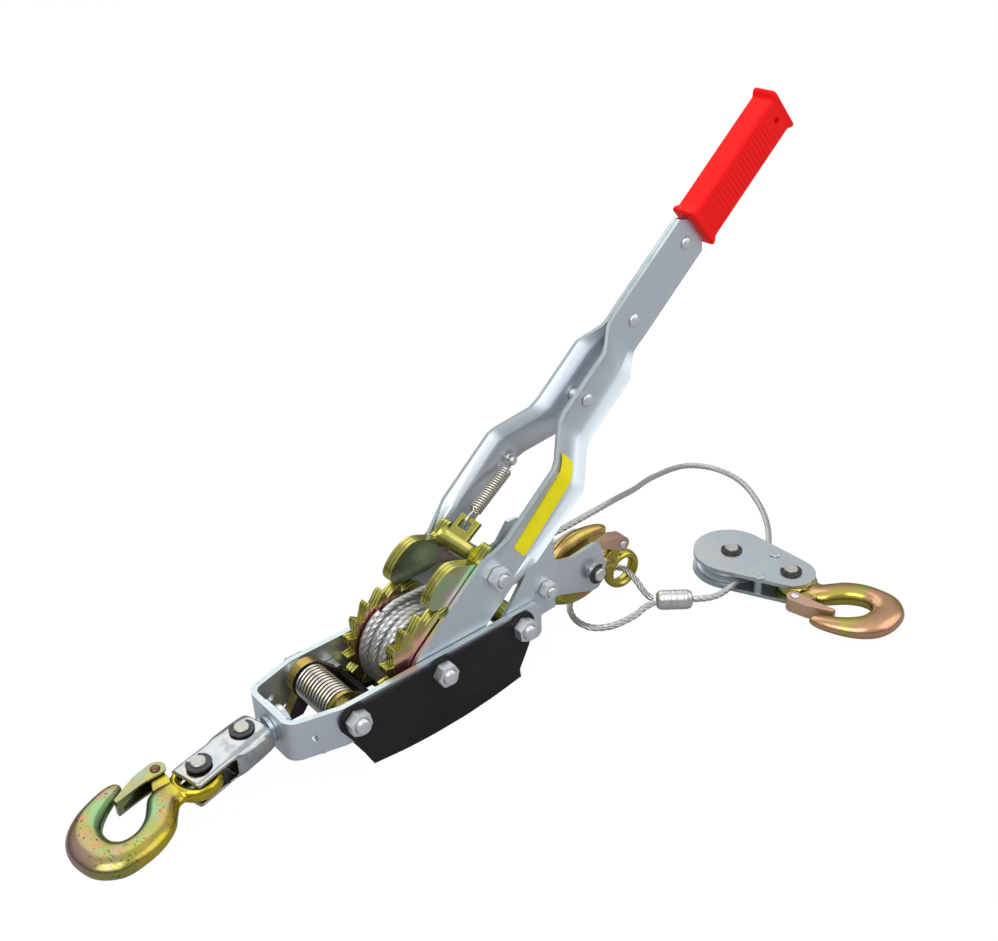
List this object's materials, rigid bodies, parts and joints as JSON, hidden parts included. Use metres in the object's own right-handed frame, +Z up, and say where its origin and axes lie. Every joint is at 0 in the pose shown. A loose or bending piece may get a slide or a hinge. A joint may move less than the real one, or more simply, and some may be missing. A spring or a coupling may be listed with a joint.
{
  "type": "come along winch",
  "caption": "Hand ratchet cable puller: U frame with ratchet drum, long pump handle with red grip, swivel anchor hook, cable, hook and pulley block",
  "frame": {"origin": "middle of the footprint of the winch without the free cable and the pieces on it, on the floor that the guard plates stand on", "axes": "+X points to the rear end where the cable leaves, -X to the anchor hook; +Z is up; the near side of the picture is -Y"},
  "size_m": [0.6461, 0.2658, 0.3624],
  "materials": {
    "zinc": "blue-white zinc plate",
    "bright_zinc": "bright zinc plate",
    "gold_zinc": "yellow passivated zinc, iridescent",
    "green_zinc": "yellow-green passivated zinc, iridescent",
    "copper_zinc": "copper-toned passivated zinc",
    "black_steel": "matt black coat",
    "red_grip": "satin red vinyl",
    "cable_steel": "galvanised stranded wire",
    "alloy": "crimped aluminium"
  },
  "bodies": {
    "frame": {"frame_yoke": "zinc", "drum_guard": "black_steel", "front_bolt": "bright_zinc", "axle_bolt": "bright_zinc", "rear_bolt": "bright_zinc", "front_nut": "bright_zinc", "axle_nut": "bright_zinc", "rear_nut": "bright_zinc", "front_spacer": "bright_zinc", "rear_spacer": "green_zinc", "swivel_washer": "bright_zinc", "tail_bracket_near": "zinc", "tail_bracket_far": "zinc", "tail_bolt": "bright_zinc", "tail_nut": "bright_zinc", "tail_pin": "bright_zinc", "stop_pawl_spring": "bright_zinc", "cable_run": "cable_steel", "cable_eye": "cable_steel", "ferrule": "alloy"},
    "drum": {"drum_core": "bright_zinc", "ratchet_near_a": "green_zinc", "ratchet_near_b": "green_zinc", "ratchet_near_c": "green_zinc", "ratchet_far_a": "green_zinc", "ratchet_far_b": "green_zinc", "ratchet_far_c": "green_zinc", "wound_cable": "cable_steel"},
    "handle": {"handle_leg_near": "zinc", "handle_leg_far": "zinc", "leg_rivet_1": "bright_zinc", "leg_rivet_2": "bright_zinc", "leg_rivet_3": "bright_zinc", "grip": "red_grip", "pawl_bolt": "bright_zinc", "pawl_nut": "bright_zinc", "spring_screw": "bright_zinc", "pawl_spring": "bright_zinc"},
    "drive_pawl_body": {"drive_pawl": "green_zinc"},
    "stop_pawl_body": {"stop_pawl": "gold_zinc", "stop_pawl_bar": "black_steel"},
    "swivel": {"swivel_stud": "bright_zinc"},
    "link": {"swivel_link": "bright_zinc", "link_pin": "bright_zinc", "hook_pin": "bright_zinc"},
    "anchor_hook_body": {"anchor_hook": "gold_zinc", "anchor_latch_rivet": "bright_zinc"},
    "anchor_latch_body": {"anchor_latch": "copper_zinc"},
    "cable_hook_body": {"cable_hook": "gold_zinc", "cable_latch_rivet": "bright_zinc"},
    "cable_latch_body": {"cable_latch": "copper_zinc"},
    "block": {"block_plate_lower": "zinc", "block_plate_upper": "zinc", "sheave_pin": "bright_zinc", "block_hook_pin": "bright_zinc"},
    "sheave_body": {"sheave": "zinc"},
    "pulley_hook_body": {"pulley_hook": "gold_zinc", "pulley_latch_rivet": "bright_zinc"},
    "pulley_latch_body": {"pulley_latch": "copper_zinc"}
  },
  "joints": [
    {"name": "handle_swing", "type": "hinge", "parent": "frame", "child": "handle", "pos_m": [-0.0584, 0.0023, 0.048], "axis": [0, -1, 0], "range_deg": [-2, 75]},
    {"name": "drive_pawl_rock", "type": "hinge", "parent": "handle", "child": "drive_pawl_body", "pos_m": [-0.00332, 0.0023, 0.09422], "axis": [0, 1, 0], "range_deg": [0, 25], "stiffness_Nm_per_rad": 0.15, "springref_deg": -28.65, "deforming": ["pawl_spring"]},
    {"name": "drum_spin", "type": "hinge", "parent": "frame", "child": "drum", "pos_m": [-0.0584, 0.0023, 0.048], "axis": [0, -1, 0], "continuous": true},
    {"name": "stop_pawl_rock", "type": "hinge", "parent": "frame", "child": "stop_pawl_body", "pos_m": [-0.1284, 0.0023, 0.048], "axis": [0, 1, 0], "range_deg": [0, 15], "stiffness_Nm_per_rad": 0.3, "springref_deg": -28.65, "deforming": ["stop_pawl_spring"]},
    {"name": "swivel_spin", "type": "hinge", "parent": "frame", "child": "swivel", "pos_m": [-0.1704, 0.0023, 0.043], "axis": [1, 0, 0], "continuous": true},
    {"name": "link_hinge", "type": "hinge", "parent": "swivel", "child": "link", "pos_m": [-0.1894, 0.0013, 0.043], "axis": [0, 0, 1], "range_deg": [-28, 3]},
    {"name": "anchor_hook_hinge", "type": "hinge", "parent": "link", "child": "anchor_hook_body", "pos_m": [-0.2244, -0.0077, 0.043], "axis": [0, 0, 1], "range_deg": [-45, 45]},
    {"name": "anchor_latch_hinge", "type": "hinge", "parent": "anchor_hook_body", "child": "anchor_latch_body", "pos_m": [-0.2437, 0.0134, 0.042], "axis": [0, 0, 1], "range_deg": [0, 25], "stiffness_Nm_per_rad": 0.02, "springref_deg": -34.38},
    {"name": "cable_hook_swing", "type": "hinge", "parent": "frame", "child": "cable_hook_body", "pos_m": [0.1026, 0.0023, 0.04], "axis": [0, 1, 0], "range_deg": [-8, 1]},
    {"name": "cable_latch_hinge", "type": "hinge", "parent": "cable_hook_body", "child": "cable_latch_body", "pos_m": [0.14094, 0.00159, 0.04263], "axis": [-0.0428, -0.9991, -0.0014], "range_deg": [0, 25], "stiffness_Nm_per_rad": 0.02, "springref_deg": -34.38},
    {"name": "block_swing", "type": "hinge", "parent": "frame", "child": "block", "pos_m": [0.2247, -0.0418, 0.0085], "axis": [0, 0, 1], "range_deg": [-6, 6]},
    {"name": "sheave_spin", "type": "hinge", "parent": "block", "child": "sheave_body", "pos_m": [0.2247, -0.0418, 0.0085], "axis": [0, 0, 1], "continuous": true},
    {"name": "pulley_hook_hinge", "type": "hinge", "parent": "block", "child": "pulley_hook_body", "pos_m": [0.235, -0.0925, 0.0085], "axis": [0, 0, 1], "range_deg": [-40, 40]},
    {"name": "pulley_latch_hinge", "type": "hinge", "parent": "pulley_hook_body", "child": "pulley_latch_body", "pos_m": [0.21548, -0.11214, 0.0085], "axis": [0, 0, 1], "range_deg": [0, 25], "stiffness_Nm_per_rad": 0.02, "springref_deg": -34.38}
  ]
}
